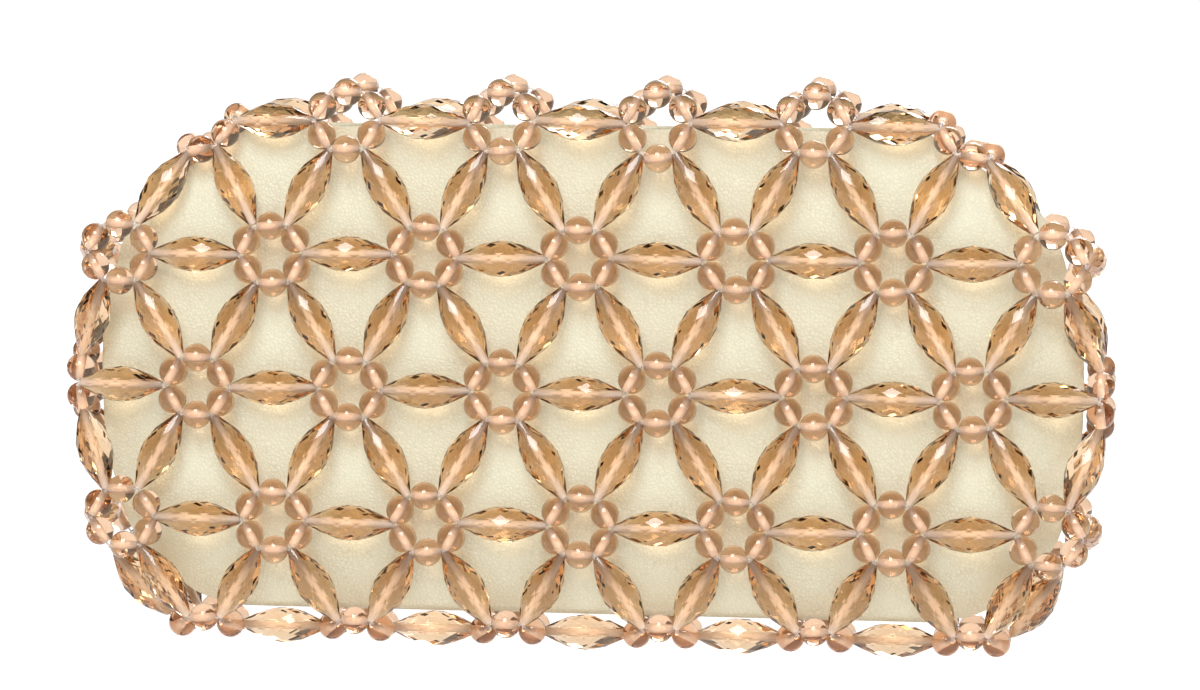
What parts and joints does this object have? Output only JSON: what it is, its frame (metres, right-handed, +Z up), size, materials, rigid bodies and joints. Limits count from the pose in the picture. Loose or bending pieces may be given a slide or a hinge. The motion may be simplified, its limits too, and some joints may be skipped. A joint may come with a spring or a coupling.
{
  "type": "evening bag",
  "caption": "Slim cream leather pouch with a recessed top zip, held in an open net of bead rings joined by long faceted beads.",
  "frame": {"origin": "centre of the base, on the surface that the bag stands on, under the long bead in the middle of the base row", "axes": "+X along the bag to the right as seen from the front, +Y from front to back, +Z up; the front faces -Y"},
  "size_m": [0.232, 0.0294, 0.1273],
  "materials": {
    "beads": "clear tinted acrylic, polished",
    "leather": "fine pebble grain, satin",
    "board": "matt",
    "lining": "satin weave",
    "tape": "woven",
    "zip_metal": "polished"
  },
  "bodies": {
    "bag": {"net_row_1_front": "beads", "net_row_2_front": "beads", "net_row_3_front": "beads", "net_row_4_front": "beads", "net_row_1_back": "beads", "net_row_2_back": "beads", "net_row_3_back": "beads", "net_row_4_back": "beads", "net_base_row": "beads", "net_corner_left": "beads", "net_corner_right": "beads", "net_side_ring_left": "beads", "net_side_ring_right": "beads", "net_tie_upper_left": "beads", "net_tie_lower_left": "beads", "net_tie_upper_right": "beads", "net_tie_lower_right": "beads", "leather_front": "leather", "leather_back": "leather", "board_front": "board", "board_back": "board", "lining_front": "lining", "lining_back": "lining", "zip_tape_front": "tape", "zip_tape_back": "tape", "zip_teeth_front": "zip_metal", "zip_teeth_back": "zip_metal", "zip_stop_left": "zip_metal", "zip_stop_right": "zip_metal"},
    "zip_slider": {"zip_slider": "zip_metal"},
    "zip_pull": {"zip_pull": "zip_metal"}
  },
  "joints": [
    {"name": "slider_travel", "type": "slide", "parent": "bag", "child": "zip_slider", "axis": [-1, 0, 0], "range_m": [0, 0.102]},
    {"name": "pull_swing", "type": "hinge", "parent": "zip_slider", "child": "zip_pull", "pos_m": [0.054, 0, 0.1066], "axis": [0, 1, 0], "range_deg": [0, 125]}
  ]
}
